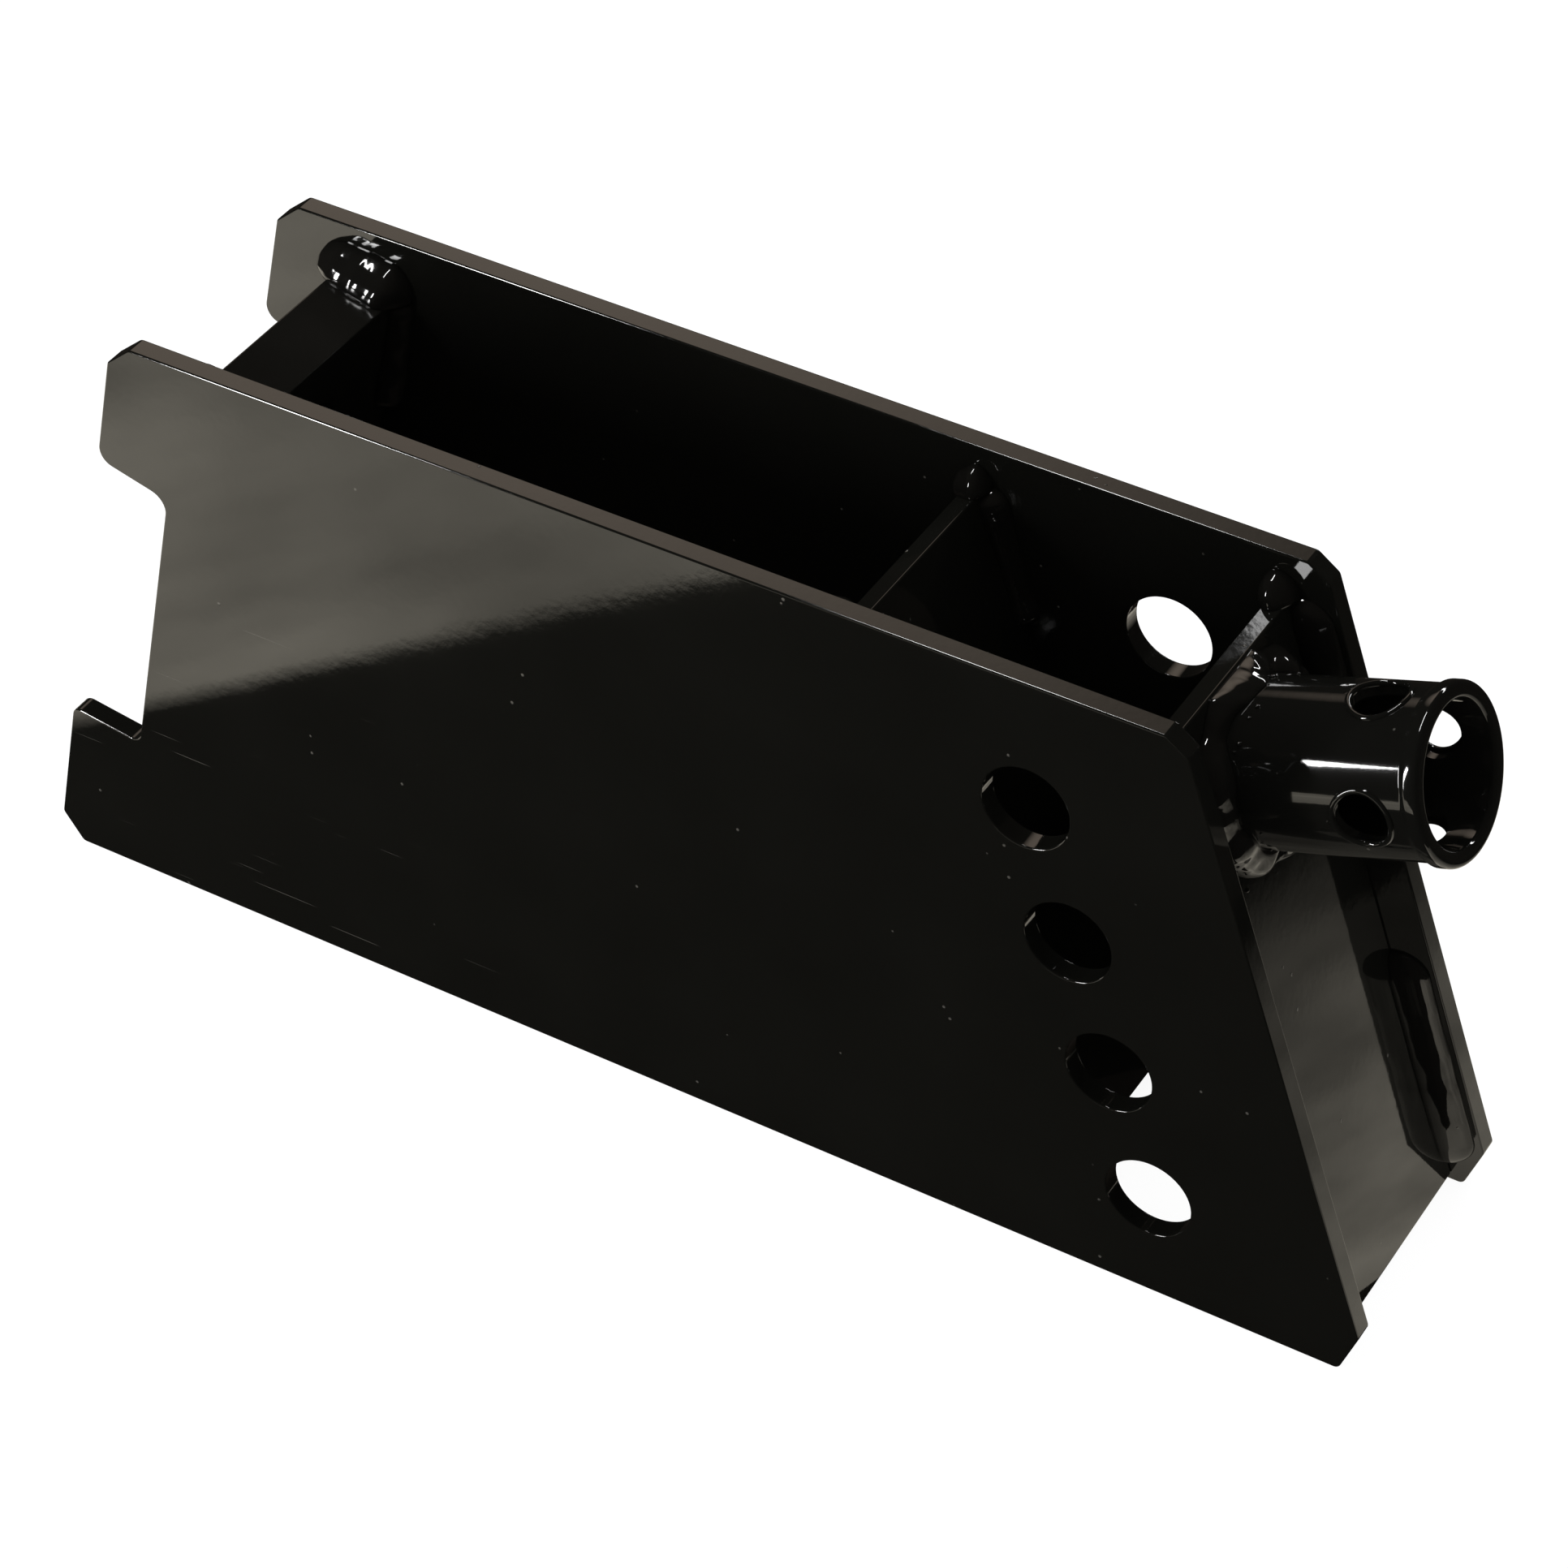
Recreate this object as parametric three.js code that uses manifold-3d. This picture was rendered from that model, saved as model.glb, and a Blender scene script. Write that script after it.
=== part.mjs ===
// Welded hook-and-sleeve bracket of a fifth wheel hitch.
//
// Two identical side plates stand on edge.  A thick bar joins them behind the hook
// notch, and two leaning plates near the other end form a sleeve crossed by four
// pairs of pin holes.  A short collared tube with cross-drilled pin holes is welded
// square to the outer leaning plate.  Every weld run is a body of its own.
//
// Millimetres.  X runs along the bracket from the hooks to the tube, Y across the
// plates, Z up.  The bracket stands on the straight lower edges of the side plates
// and the origin is the middle of its bounding box, at floor level.
import * as THREE from 'three';
import { mergeVertices } from 'three/addons/utils/BufferGeometryUtils.js';
import Module from 'manifold-3d';

const wasm = await Module();
wasm.setup();

// ---- driving dimensions ------------------------------------------------------------
const PLATE_THICKNESS = 6.35;   // nominal quarter inch, every flat cut piece
const OVERALL_WIDTH = 84.6;     // over the outer faces of the two side plates
const JOINT_GAP = 0.3;          // clearance kept between touching bodies
const EDGE_SOFTENING = 0.8;     // rounded arris left by deburring and coating
const EDGE_STEPS = 2;           // facets in each rounded arris

const FOOT_LENGTH = 406.4;      // straight lower edge of a side plate
const PLATE_HEIGHT = 189.6;
const HOOK_LEAN = THREE.MathUtils.degToRad(11.4);   // hook end, top leans towards +X
const SLEEVE_LEAN = THREE.MathUtils.degToRad(19.4); // sleeve end, top leans towards -X

// side plate corners, measured from the hook end of the lower edge: [x, z, radius]
const HEEL = [-6.4, 8.9, 2];
const FOOT_HOOK_END = [0, 0, 2];
const FOOT_SLEEVE_END = [FOOT_LENGTH, 0, 2];
const TOE = [411.2, 13.7, 2];
const SHOULDER = [350.8, 185.0, 2];
const TOP_SLEEVE_END = [344.4, PLATE_HEIGHT, 2];
const TOP_HOOK_END = [36.3, PLATE_HEIGHT, 2];
const CROWN = [28.6, 182.9, 2];
const NOSE = [21.6, 148.4, 5];
const NOTCH_TOP = [44.1, 142.6, 5.5];
const NOTCH_BOTTOM = [25.3, 48.9, 3.2];
const LIP = [2.3, 52.3, 3];

const PIN_HOLE_DIAMETER = 24.8;
const PIN_HOLE_COUNT = 4;
const PIN_HOLE_PITCH = 41.3;
const FIRST_PIN_HOLE = [307.6, 150.0];

const BAR_THICKNESS = 19.05;
const BAR_HEIGHT = 130;
const BAR_TOP_Z = 176.4;        // height of the bar's upper corner on the notch side
const BAR_HOLE_DIAMETER = 16;
const BAR_HOLE_FROM_TOP = 25;

const SLEEVE_PLATE_LENGTH = 186;
const SLEEVE_PLATE_TOP_Z = 177.8;
const INNER_PLATE_TOP_X = 252.6; // upper corner on the face that looks at the sleeve
const END_PLATE_TOP_X = 341.05;  // upper corner on the outer face

const TUBE_OUTER_DIAMETER = 44.45;
const TUBE_BORE = 37.2;
const TUBE_LENGTH = 58.2;
const TUBE_FROM_PLATE_TOP = 26;
const COLLAR_DIAMETER = 46.6;
const COLLAR_WIDTH = 4.5;
const TUBE_PIN_HOLE_DIAMETER = 16;
const TUBE_PIN_HOLE_FROM_END = 17;

const BAR_WELD_LEG = 7;
const BAR_SIDE_WELD_LEG = 6;
const BAR_WELD_RUN = 40;        // length of the upright run below the top of the bar
const INNER_WELD_LEG = 5.5;
const INNER_WELD_RUN = 42;
const SEAM_WELD_WIDTH = 10;     // leg on the side plate, towards its sloping edge
const SEAM_WELD_RISE = 3.5;     // leg on the end plate
const SEAM_UPPER_RUN = 42;      // length of the upper run, from the top of the end plate
const SEAM_LOWER_START = 112;   // start of the lower run, below the top of the end plate
const SEAM_END_MARGIN = 5;
const TOP_WELD_LEG = 7.5;
const TUBE_WELD_LEG = 7;
const WELD_CROWN = 0.12;        // bulge of a weld face as a share of its leg
const WELD_OVERHANG = 2.2;      // run-out of a top weld past the plate it covers

const HOLE_SEGMENTS = 40;
const CORNER_STEPS = 4;
const TUBE_SEGMENTS = 64;
const WELD_FACE_STEPS = 8;      // facets across the bulging face of a weld
const MERGE_DISTANCE = 1e-4;

const COATING_COLOUR = 0x16150f;
const COATING_METALNESS = 0.1;
const PLATE_ROUGHNESS = 0.25;
const WELD_ROUGHNESS = 0.2;

// ---- directions in the side view, as [x, z] -----------------------------------------
const HALF_WIDTH = OVERALL_WIDTH / 2;
const INNER_FACE_Y = HALF_WIDTH - PLATE_THICKNESS;
const CROSS_WIDTH = 2 * (INNER_FACE_Y - JOINT_GAP);
const BAR_UP = [Math.sin(HOOK_LEAN), Math.cos(HOOK_LEAN)];
const BAR_OUT = [BAR_UP[1], -BAR_UP[0]];
const SLEEVE_UP = [-Math.sin(SLEEVE_LEAN), Math.cos(SLEEVE_LEAN)];
const SLEEVE_OUT = [SLEEVE_UP[1], -SLEEVE_UP[0]];

/** Point reached from `from` by going `a` along `u` and `b` along `v` in the side view. */
function step(from, u, a, v = [0, 0], b = 0) {
  return [from[0] + u[0] * a + v[0] * b, from[1] + u[1] * a + v[1] * b];
}

// ---- shape helpers -------------------------------------------------------------------
/** Closed outline through [x, y, radius] corners, each corner rounded by its radius. */
function roundedOutline(corners) {
  const points = [];
  const count = corners.length;
  for (let i = 0; i < count; i += 1) {
    const here = new THREE.Vector2(corners[i][0], corners[i][1]);
    const before = corners[(i + count - 1) % count];
    const after = corners[(i + 1) % count];
    const toBefore = new THREE.Vector2(before[0], before[1]).sub(here).normalize();
    const toAfter = new THREE.Vector2(after[0], after[1]).sub(here).normalize();
    const halfAngle = Math.acos(toBefore.dot(toAfter)) / 2;
    const setback = corners[i][2] / Math.tan(halfAngle);
    const start = here.clone().addScaledVector(toBefore, setback);
    const end = here.clone().addScaledVector(toAfter, setback);
    points.push(...new THREE.QuadraticBezierCurve(start, here, end).getPoints(CORNER_STEPS));
  }
  return new THREE.Shape(points);
}

function circleHole(x, y, diameter) {
  const hole = new THREE.Path();
  hole.absarc(x, y, diameter / 2, 0, 2 * Math.PI, true);
  return hole;
}

/** Flat plate cut from `shape`, its arrises softened, thickness centred on z = 0. */
function cutPlate(shape, thickness) {
  const geometry = new THREE.ExtrudeGeometry(shape, {
    depth: thickness - 2 * EDGE_SOFTENING,
    bevelEnabled: true,
    bevelThickness: EDGE_SOFTENING,
    bevelSize: EDGE_SOFTENING,
    bevelOffset: -EDGE_SOFTENING,
    bevelSegments: EDGE_STEPS,
    curveSegments: HOLE_SEGMENTS / 2,
  });
  geometry.translate(0, 0, EDGE_SOFTENING - thickness / 2);
  return geometry;
}

/** Position-only triangles with shared corners, as a manifold solid. */
function toSolid(geometry) {
  const bare = new THREE.BufferGeometry();
  bare.setAttribute('position', geometry.getAttribute('position').clone());
  if (geometry.getIndex()) bare.setIndex(geometry.getIndex().clone());
  const merged = mergeVertices(bare, MERGE_DISTANCE);
  return new wasm.Manifold(new wasm.Mesh({
    numProp: 3,
    vertProperties: new Float32Array(merged.getAttribute('position').array),
    triVerts: new Uint32Array(merged.getIndex().array),
  }));
}

function toGeometry(solid) {
  const mesh = solid.getMesh();
  const geometry = new THREE.BufferGeometry();
  geometry.setAttribute('position', new THREE.BufferAttribute(mesh.vertProperties, 3));
  geometry.setIndex(new THREE.BufferAttribute(mesh.triVerts, 1));
  const faceted = geometry.toNonIndexed();
  faceted.computeVertexNormals();
  return faceted;
}

/** Black gloss coating; every body gets its own copy. */
function coating(roughness) {
  return new THREE.MeshStandardMaterial({
    color: COATING_COLOUR,
    roughness,
    metalness: COATING_METALNESS,
  });
}

function body(name, geometry, roughness = PLATE_ROUGHNESS) {
  const mesh = new THREE.Mesh(geometry, coating(roughness));
  mesh.name = name;
  return mesh;
}

/** Turns geometry drawn in the XY plane into the side view, its depth across Y. */
function standUp(geometry) {
  geometry.rotateX(Math.PI / 2);
  return geometry;
}

// ---- side plates -----------------------------------------------------------------------
function sidePlateShape() {
  const shape = roundedOutline([
    FOOT_HOOK_END, FOOT_SLEEVE_END, TOE, SHOULDER, TOP_SLEEVE_END, TOP_HOOK_END,
    CROWN, NOSE, NOTCH_TOP, NOTCH_BOTTOM, LIP, HEEL,
  ]);
  for (let i = 0; i < PIN_HOLE_COUNT; i += 1) {
    const centre = step(FIRST_PIN_HOLE, SLEEVE_UP, -PIN_HOLE_PITCH * i);
    shape.holes.push(circleHole(centre[0], centre[1], PIN_HOLE_DIAMETER));
  }
  return shape;
}

function sidePlate(name, side) {
  const mesh = body(name, standUp(cutPlate(sidePlateShape(), PLATE_THICKNESS)));
  mesh.position.y = side * (HALF_WIDTH - PLATE_THICKNESS / 2);
  return mesh;
}

// ---- cross members ----------------------------------------------------------------------
/** Rectangle spanning the bracket, `height` tall, its middle on the origin. */
function crossShape(height) {
  const x = CROSS_WIDTH / 2;
  const y = height / 2;
  const corners = [[-x, -y], [x, -y], [x, y], [-x, y]];
  return new THREE.Shape(corners.map((c) => new THREE.Vector2(c[0], c[1])));
}

/**
 * Places a cross member whose upper corner on its `out` face lies at `corner`.
 * Drawn flat: X of the drawing becomes Y, its Y becomes `up`, its Z becomes `out`.
 */
function placeCross(mesh, corner, up, out, height, thickness, outwardFace) {
  const shift = outwardFace ? -thickness / 2 : thickness / 2;
  const middle = step(corner, up, -height / 2, out, shift);
  mesh.position.set(middle[0], 0, middle[1]);
  const axes = new THREE.Matrix4().makeBasis(
    new THREE.Vector3(0, 1, 0),
    new THREE.Vector3(up[0], 0, up[1]),
    new THREE.Vector3(out[0], 0, out[1]),
  );
  mesh.setRotationFromMatrix(axes);
  return mesh;
}

/** Point of the notch wall, carried upwards in a straight line, at height z. */
function onNotchWall(z) {
  return [NOTCH_TOP[0] + (z - NOTCH_TOP[1]) * Math.tan(HOOK_LEAN), z];
}

function hookBar() {
  const shape = crossShape(BAR_HEIGHT);
  shape.holes.push(circleHole(0, BAR_HEIGHT / 2 - BAR_HOLE_FROM_TOP, BAR_HOLE_DIAMETER));
  const mesh = body('hook_bar', cutPlate(shape, BAR_THICKNESS));
  return placeCross(mesh, onNotchWall(BAR_TOP_Z), BAR_UP, BAR_OUT, BAR_HEIGHT, BAR_THICKNESS, false);
}

function sleevePlate(name, topX) {
  const mesh = body(name, cutPlate(crossShape(SLEEVE_PLATE_LENGTH), PLATE_THICKNESS));
  const corner = [topX, SLEEVE_PLATE_TOP_Z];
  return placeCross(mesh, corner, SLEEVE_UP, SLEEVE_OUT, SLEEVE_PLATE_LENGTH, PLATE_THICKNESS, true);
}

// ---- stub tube ---------------------------------------------------------------------------
/** Centre of the tube's root on the outer face of the end plate. */
function tubeRoot() {
  return step([END_PLATE_TOP_X, SLEEVE_PLATE_TOP_Z], SLEEVE_UP, -TUBE_FROM_PLATE_TOP);
}

/** Turns a lathe so its axis (+Y) runs along SLEEVE_OUT and its +X points down the plate. */
function placeOnTubeAxis(mesh) {
  const root = tubeRoot();
  mesh.position.set(root[0], 0, root[1]);
  mesh.setRotationFromMatrix(new THREE.Matrix4().makeBasis(
    new THREE.Vector3(-SLEEVE_UP[0], 0, -SLEEVE_UP[1]),
    new THREE.Vector3(SLEEVE_OUT[0], 0, SLEEVE_OUT[1]),
    new THREE.Vector3(0, -1, 0),
  ));
  return mesh;
}

/** Solid pin across the tube at `height` along its axis, along `angle` around it. */
function crossPin(height, angle) {
  const pin = new THREE.CylinderGeometry(
    TUBE_PIN_HOLE_DIAMETER / 2, TUBE_PIN_HOLE_DIAMETER / 2, 2 * COLLAR_DIAMETER, HOLE_SEGMENTS,
  );
  pin.rotateX(Math.PI / 2);
  pin.rotateY(angle);
  pin.translate(0, height, 0);
  return toSolid(pin);
}

function tubeProfile() {
  const outer = TUBE_OUTER_DIAMETER / 2;
  const collar = COLLAR_DIAMETER / 2;
  const bore = TUBE_BORE / 2;
  const edge = EDGE_SOFTENING;
  const top = TUBE_LENGTH;
  return [
    [bore, JOINT_GAP],
    [outer, JOINT_GAP],
    [outer, top - COLLAR_WIDTH - edge],
    [collar - edge / 3, top - COLLAR_WIDTH + edge],
    [collar, top - COLLAR_WIDTH / 2],
    [collar - edge / 3, top - edge],
    [collar - edge * 1.5, top],
    [bore + edge * 1.2, top],
    [bore + edge / 4, top - edge / 2],
    [bore, top - edge * 1.5],
    [bore, JOINT_GAP],
  ].map(([r, y]) => new THREE.Vector2(r, y));
}

function stubTube() {
  const lathe = new THREE.LatheGeometry(tubeProfile(), TUBE_SEGMENTS);
  const pinHeight = TUBE_LENGTH - TUBE_PIN_HOLE_FROM_END;
  const drilled = toSolid(lathe)
    .subtract(crossPin(pinHeight, 0))
    .subtract(crossPin(pinHeight, Math.PI / 2));
  return placeOnTubeAxis(body('stub_tube', toGeometry(drilled)));
}

// ---- welds ---------------------------------------------------------------------------------
/** Cross-section of a fillet weld filling the corner at the origin, face bulging outwards. */
function filletSection(legU, legV) {
  const shape = new THREE.Shape();
  const gap = JOINT_GAP;
  const bulge = WELD_CROWN * Math.min(legU, legV);
  const middle = [(legU + gap) / 2 + bulge, (legV + gap) / 2 + bulge];
  shape.moveTo(gap, gap);
  shape.lineTo(legU, gap);
  shape.quadraticCurveTo(middle[0], middle[1], gap, legV);
  shape.closePath();
  return shape;
}

/**
 * Straight fillet weld in the corner between a cross member and a side plate.
 * `from` and `to` are [x, z] points of the corner line; `climb` is the direction in
 * which the weld climbs the side plate; the other leg lies on the cross member.
 */
function cornerWeld(name, side, from, to, climb, legClimb, legAcross) {
  const length = Math.hypot(to[0] - from[0], to[1] - from[1]);
  const geometry = new THREE.ExtrudeGeometry(filletSection(legClimb, legAcross), {
    depth: length,
    bevelEnabled: false,
    curveSegments: WELD_FACE_STEPS,
  });
  const up = new THREE.Vector3(climb[0], 0, climb[1]);
  const across = new THREE.Vector3(0, -side, 0);
  const along = new THREE.Vector3(to[0] - from[0], 0, to[1] - from[1]).normalize();
  const rightHanded = new THREE.Vector3().crossVectors(up, across).dot(along) > 0;
  const mesh = body(name, geometry, WELD_ROUGHNESS);
  const origin = rightHanded ? from : to;
  if (!rightHanded) along.negate();
  mesh.position.set(origin[0], side * INNER_FACE_Y, origin[1]);
  mesh.setRotationFromMatrix(new THREE.Matrix4().makeBasis(up, across, along));
  return mesh;
}

function barWelds(sideName, side) {
  const notchCorner = onNotchWall(BAR_TOP_Z);
  const innerCorner = step(notchCorner, BAR_OUT, BAR_THICKNESS);
  const top = cornerWeld(
    `hook_bar_top_weld_${sideName}`, side,
    step(notchCorner, BAR_OUT, -BAR_WELD_LEG), step(innerCorner, BAR_OUT, BAR_WELD_LEG / 2),
    BAR_UP, BAR_WELD_LEG, BAR_WELD_LEG,
  );
  const upright = cornerWeld(
    `hook_bar_side_weld_${sideName}`, side,
    innerCorner, step(innerCorner, BAR_UP, -BAR_WELD_RUN),
    BAR_OUT, BAR_SIDE_WELD_LEG, BAR_SIDE_WELD_LEG,
  );
  return [top, upright];
}

function innerPlateWelds(sideName, side) {
  const faceCorner = [INNER_PLATE_TOP_X, SLEEVE_PLATE_TOP_Z];
  const backCorner = step(faceCorner, SLEEVE_OUT, -PLATE_THICKNESS);
  const top = cornerWeld(
    `inner_plate_top_weld_${sideName}`, side,
    step(backCorner, SLEEVE_OUT, -WELD_OVERHANG), step(faceCorner, SLEEVE_OUT, WELD_OVERHANG),
    SLEEVE_UP, TOP_WELD_LEG, TOP_WELD_LEG,
  );
  const upright = cornerWeld(
    `inner_plate_side_weld_${sideName}`, side,
    faceCorner, step(faceCorner, SLEEVE_UP, -INNER_WELD_RUN),
    SLEEVE_OUT, INNER_WELD_LEG, INNER_WELD_LEG,
  );
  return [top, upright];
}

function endPlateWelds(sideName, side) {
  const faceCorner = [END_PLATE_TOP_X, SLEEVE_PLATE_TOP_Z];
  const backCorner = step(faceCorner, SLEEVE_OUT, -PLATE_THICKNESS);
  const top = cornerWeld(
    `end_plate_top_weld_${sideName}`, side,
    step(backCorner, SLEEVE_OUT, -WELD_OVERHANG), step(faceCorner, SLEEVE_OUT, WELD_OVERHANG),
    SLEEVE_UP, TOP_WELD_LEG, TOP_WELD_LEG,
  );
  const upper = cornerWeld(
    `end_plate_upper_weld_${sideName}`, side,
    step(faceCorner, SLEEVE_UP, -JOINT_GAP), step(faceCorner, SLEEVE_UP, -SEAM_UPPER_RUN),
    SLEEVE_OUT, SEAM_WELD_WIDTH, SEAM_WELD_RISE,
  );
  const lower = cornerWeld(
    `end_plate_seam_weld_${sideName}`, side,
    step(faceCorner, SLEEVE_UP, -SEAM_LOWER_START),
    step(faceCorner, SLEEVE_UP, SEAM_END_MARGIN - SLEEVE_PLATE_LENGTH),
    SLEEVE_OUT, SEAM_WELD_WIDTH, SEAM_WELD_RISE,
  );
  return [top, upper, lower];
}

/** Ring weld round the tube's root, trimmed level with the top edge of the end plate. */
function tubeRootWeld() {
  const inner = TUBE_OUTER_DIAMETER / 2;
  const section = filletSection(TUBE_WELD_LEG, TUBE_WELD_LEG).getPoints(WELD_FACE_STEPS);
  const profile = section.map((p) => new THREE.Vector2(inner + p.x, p.y));
  profile.push(profile[0].clone());
  const ring = toSolid(new THREE.LatheGeometry(profile, TUBE_SEGMENTS));
  const reach = 4 * TUBE_WELD_LEG;
  const trim = new THREE.BoxGeometry(reach, reach, 2 * COLLAR_DIAMETER);
  trim.translate(-TUBE_FROM_PLATE_TOP + JOINT_GAP - reach / 2, 0, 0);
  const trimmed = toGeometry(ring.subtract(toSolid(trim)));
  return placeOnTubeAxis(body('tube_root_weld', trimmed, WELD_ROUGHNESS));
}

// ---- assembly --------------------------------------------------------------------------------
function build() {
  const bracket = new THREE.Group();
  bracket.name = 'fifth_wheel_hitch_bracket';
  bracket.add(hookBar());
  bracket.add(sleevePlate('inner_plate', INNER_PLATE_TOP_X));
  bracket.add(sleevePlate('end_plate', END_PLATE_TOP_X));
  bracket.add(stubTube());
  bracket.add(tubeRootWeld());
  for (const [sideName, side] of [['front', -1], ['rear', 1]]) {
    bracket.add(sidePlate(`side_plate_${sideName}`, side));
    bracket.add(...barWelds(sideName, side));
    bracket.add(...innerPlateWelds(sideName, side));
    bracket.add(...endPlateWelds(sideName, side));
  }
  return bracket;
}

/** Moves the bracket so the middle of its bounding box is at x = 0. */
function centreAlongX(bracket) {
  bracket.updateMatrixWorld(true);
  const box = new THREE.Box3().setFromObject(bracket, true);
  bracket.position.x = -(box.min.x + box.max.x) / 2;
  return bracket;
}

const bracket = centreAlongX(build());
export default bracket;
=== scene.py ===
"""Looks for the welded hook-and-sleeve bracket: coated steel pieces, weld beads, light and camera.

Shapes are worked out in millimetres in the part's own frame and scaled to metres when a mesh is
made.  Side-view points are (x, z), x measured from the hook end of the straight lower edge.
"""
import math
import random

import bmesh
import bpy
from mathutils import Matrix, Vector, noise
from mathutils.geometry import tessellate_polygon


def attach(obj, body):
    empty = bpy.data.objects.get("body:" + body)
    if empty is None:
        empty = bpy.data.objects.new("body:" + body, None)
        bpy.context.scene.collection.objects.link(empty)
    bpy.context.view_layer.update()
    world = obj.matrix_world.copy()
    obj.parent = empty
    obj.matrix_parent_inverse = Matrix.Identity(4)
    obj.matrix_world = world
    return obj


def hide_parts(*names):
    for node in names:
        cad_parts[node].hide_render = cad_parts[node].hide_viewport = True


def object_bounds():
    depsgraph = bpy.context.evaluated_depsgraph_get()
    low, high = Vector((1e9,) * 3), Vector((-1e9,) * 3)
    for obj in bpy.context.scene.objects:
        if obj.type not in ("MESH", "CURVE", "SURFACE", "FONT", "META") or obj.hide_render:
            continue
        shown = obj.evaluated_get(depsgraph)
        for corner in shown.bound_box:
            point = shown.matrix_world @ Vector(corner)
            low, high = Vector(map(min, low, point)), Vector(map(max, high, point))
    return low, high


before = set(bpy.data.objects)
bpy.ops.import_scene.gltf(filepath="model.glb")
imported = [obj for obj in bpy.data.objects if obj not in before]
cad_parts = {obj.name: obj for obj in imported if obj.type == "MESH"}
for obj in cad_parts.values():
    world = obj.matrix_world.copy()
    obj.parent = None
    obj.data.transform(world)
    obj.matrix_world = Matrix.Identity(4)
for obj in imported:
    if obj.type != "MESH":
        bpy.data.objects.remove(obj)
CAD_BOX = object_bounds()

MM = 0.001

# ---- driving dimensions, millimetres ----------------------------------------------------
FOOT_START_X = -202.83      # hook end of the straight lower edge, in the row frame
PLATE_THICKNESS = 6.35
HALF_WIDTH = 42.3
FIT_CLEARANCE = 0.1         # coated pieces stop this short of the face they meet
INNER_FACE_Y = HALF_WIDTH - PLATE_THICKNESS
CROSS_HALF_WIDTH = INNER_FACE_Y - FIT_CLEARANCE
PLATE_HEIGHT = 189.6
HOOK_LEAN = math.radians(11.4)
SLEEVE_LEAN = math.radians(19.4)

# side plate corners: x, z, radius
SIDE_OUTLINE = [
    (0, 0, 2), (406.4, 0, 2), (411.2, 13.7, 2), (350.8, 185.0, 2), (344.4, PLATE_HEIGHT, 2),
    (36.3, PLATE_HEIGHT, 2), (28.6, 182.9, 2), (21.6, 148.4, 5), (44.1, 142.6, 5.5),
    (25.3, 48.9, 3.2), (2.3, 52.3, 3), (-6.4, 8.9, 2),
]
PIN_HOLE_RADIUS = 12.4
PIN_HOLE_COUNT = 4
PIN_HOLE_PITCH = 41.3
FIRST_PIN_HOLE = (307.6, 150.0)

BAR_THICKNESS = 19.05
BAR_HEIGHT = 130.0
BAR_TOP_Z = 176.4
BAR_HOLE_RADIUS = 8.0
BAR_HOLE_FROM_TOP = 25.0
NOTCH_TOP = (44.1, 142.6)

SLEEVE_PLATE_LENGTH = 186.0
SLEEVE_TOP_Z = 177.8
INNER_PLATE_TOP_X = 252.6
END_PLATE_TOP_X = 341.05

TUBE_RADIUS = 22.225
TUBE_BORE_RADIUS = 18.6
TUBE_LENGTH = 58.2
TUBE_FROM_PLATE_TOP = 26.0
COLLAR_RADIUS = 23.3
COLLAR_WIDTH = 4.5
TUBE_PIN_RADIUS = 8.0
TUBE_PIN_FROM_END = 17.0
TUBE_RIM_RADIUS = 1.5
SHOULDER_HALF_WIDTH = 1.0   # the collar swells up over twice this length
SHOULDER_MARGIN = 1.2

EDGE_RADIUS = 0.5           # coating rounds every cut edge
CROSS_CORNER_RADIUS = EDGE_RADIUS * 1.2
EDGE_STEPS = 5
CORNER_STEPS = 8
HOLE_STEPS = 96
TUBE_STEPS = 192
TUBE_WALL_RINGS = 25
TUBE_BORE_RINGS = 20
SHOULDER_STEPS = 8
RIM_STEPS = 6
LIP_RADIUS = 0.9            # rolled lip of coating round a drilled hole
LIP_SINK = 0.25
LIP_SECTION_STEPS = 12
CUTTER_REACH = 40.0
SHARP_ANGLE = math.radians(40)

# ---- directions in the side view --------------------------------------------------------
BAR_UP = Vector((math.sin(HOOK_LEAN), 0, math.cos(HOOK_LEAN)))
BAR_OUT = Vector((math.cos(HOOK_LEAN), 0, -math.sin(HOOK_LEAN)))
SLEEVE_UP = Vector((-math.sin(SLEEVE_LEAN), 0, math.cos(SLEEVE_LEAN)))
SLEEVE_OUT = Vector((math.cos(SLEEVE_LEAN), 0, math.sin(SLEEVE_LEAN)))
ACROSS = Vector((0, 1, 0))


def side_point(x, z, y=0.0):
    """Row-frame point, still in millimetres, of a side-view point."""
    return Vector((FOOT_START_X + x, y, z))


BAR_CORNER = side_point(NOTCH_TOP[0] + (BAR_TOP_Z - NOTCH_TOP[1]) * math.tan(HOOK_LEAN), BAR_TOP_Z)
INNER_CORNER = side_point(INNER_PLATE_TOP_X, SLEEVE_TOP_Z)
END_CORNER = side_point(END_PLATE_TOP_X, SLEEVE_TOP_Z)
TUBE_ROOT = END_CORNER - SLEEVE_UP * TUBE_FROM_PLATE_TOP


# ---- mesh helpers -------------------------------------------------------------------------
def finish_piece(name, bm, material, nodes):
    """Turns a millimetre bmesh into a smooth piece that rides on the root body."""
    bmesh.ops.recalc_face_normals(bm, faces=bm.faces)
    bmesh.ops.scale(bm, vec=(MM, MM, MM), verts=bm.verts)
    for face in bm.faces:
        face.smooth = True
    mesh = bpy.data.meshes.new(name)
    bm.to_mesh(mesh)
    bm.free()
    piece = bpy.data.objects.new(name, mesh)
    bpy.context.scene.collection.objects.link(piece)
    mesh.materials.append(material)
    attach(piece, "root")
    if nodes:
        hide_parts(*nodes)
    return piece


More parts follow.
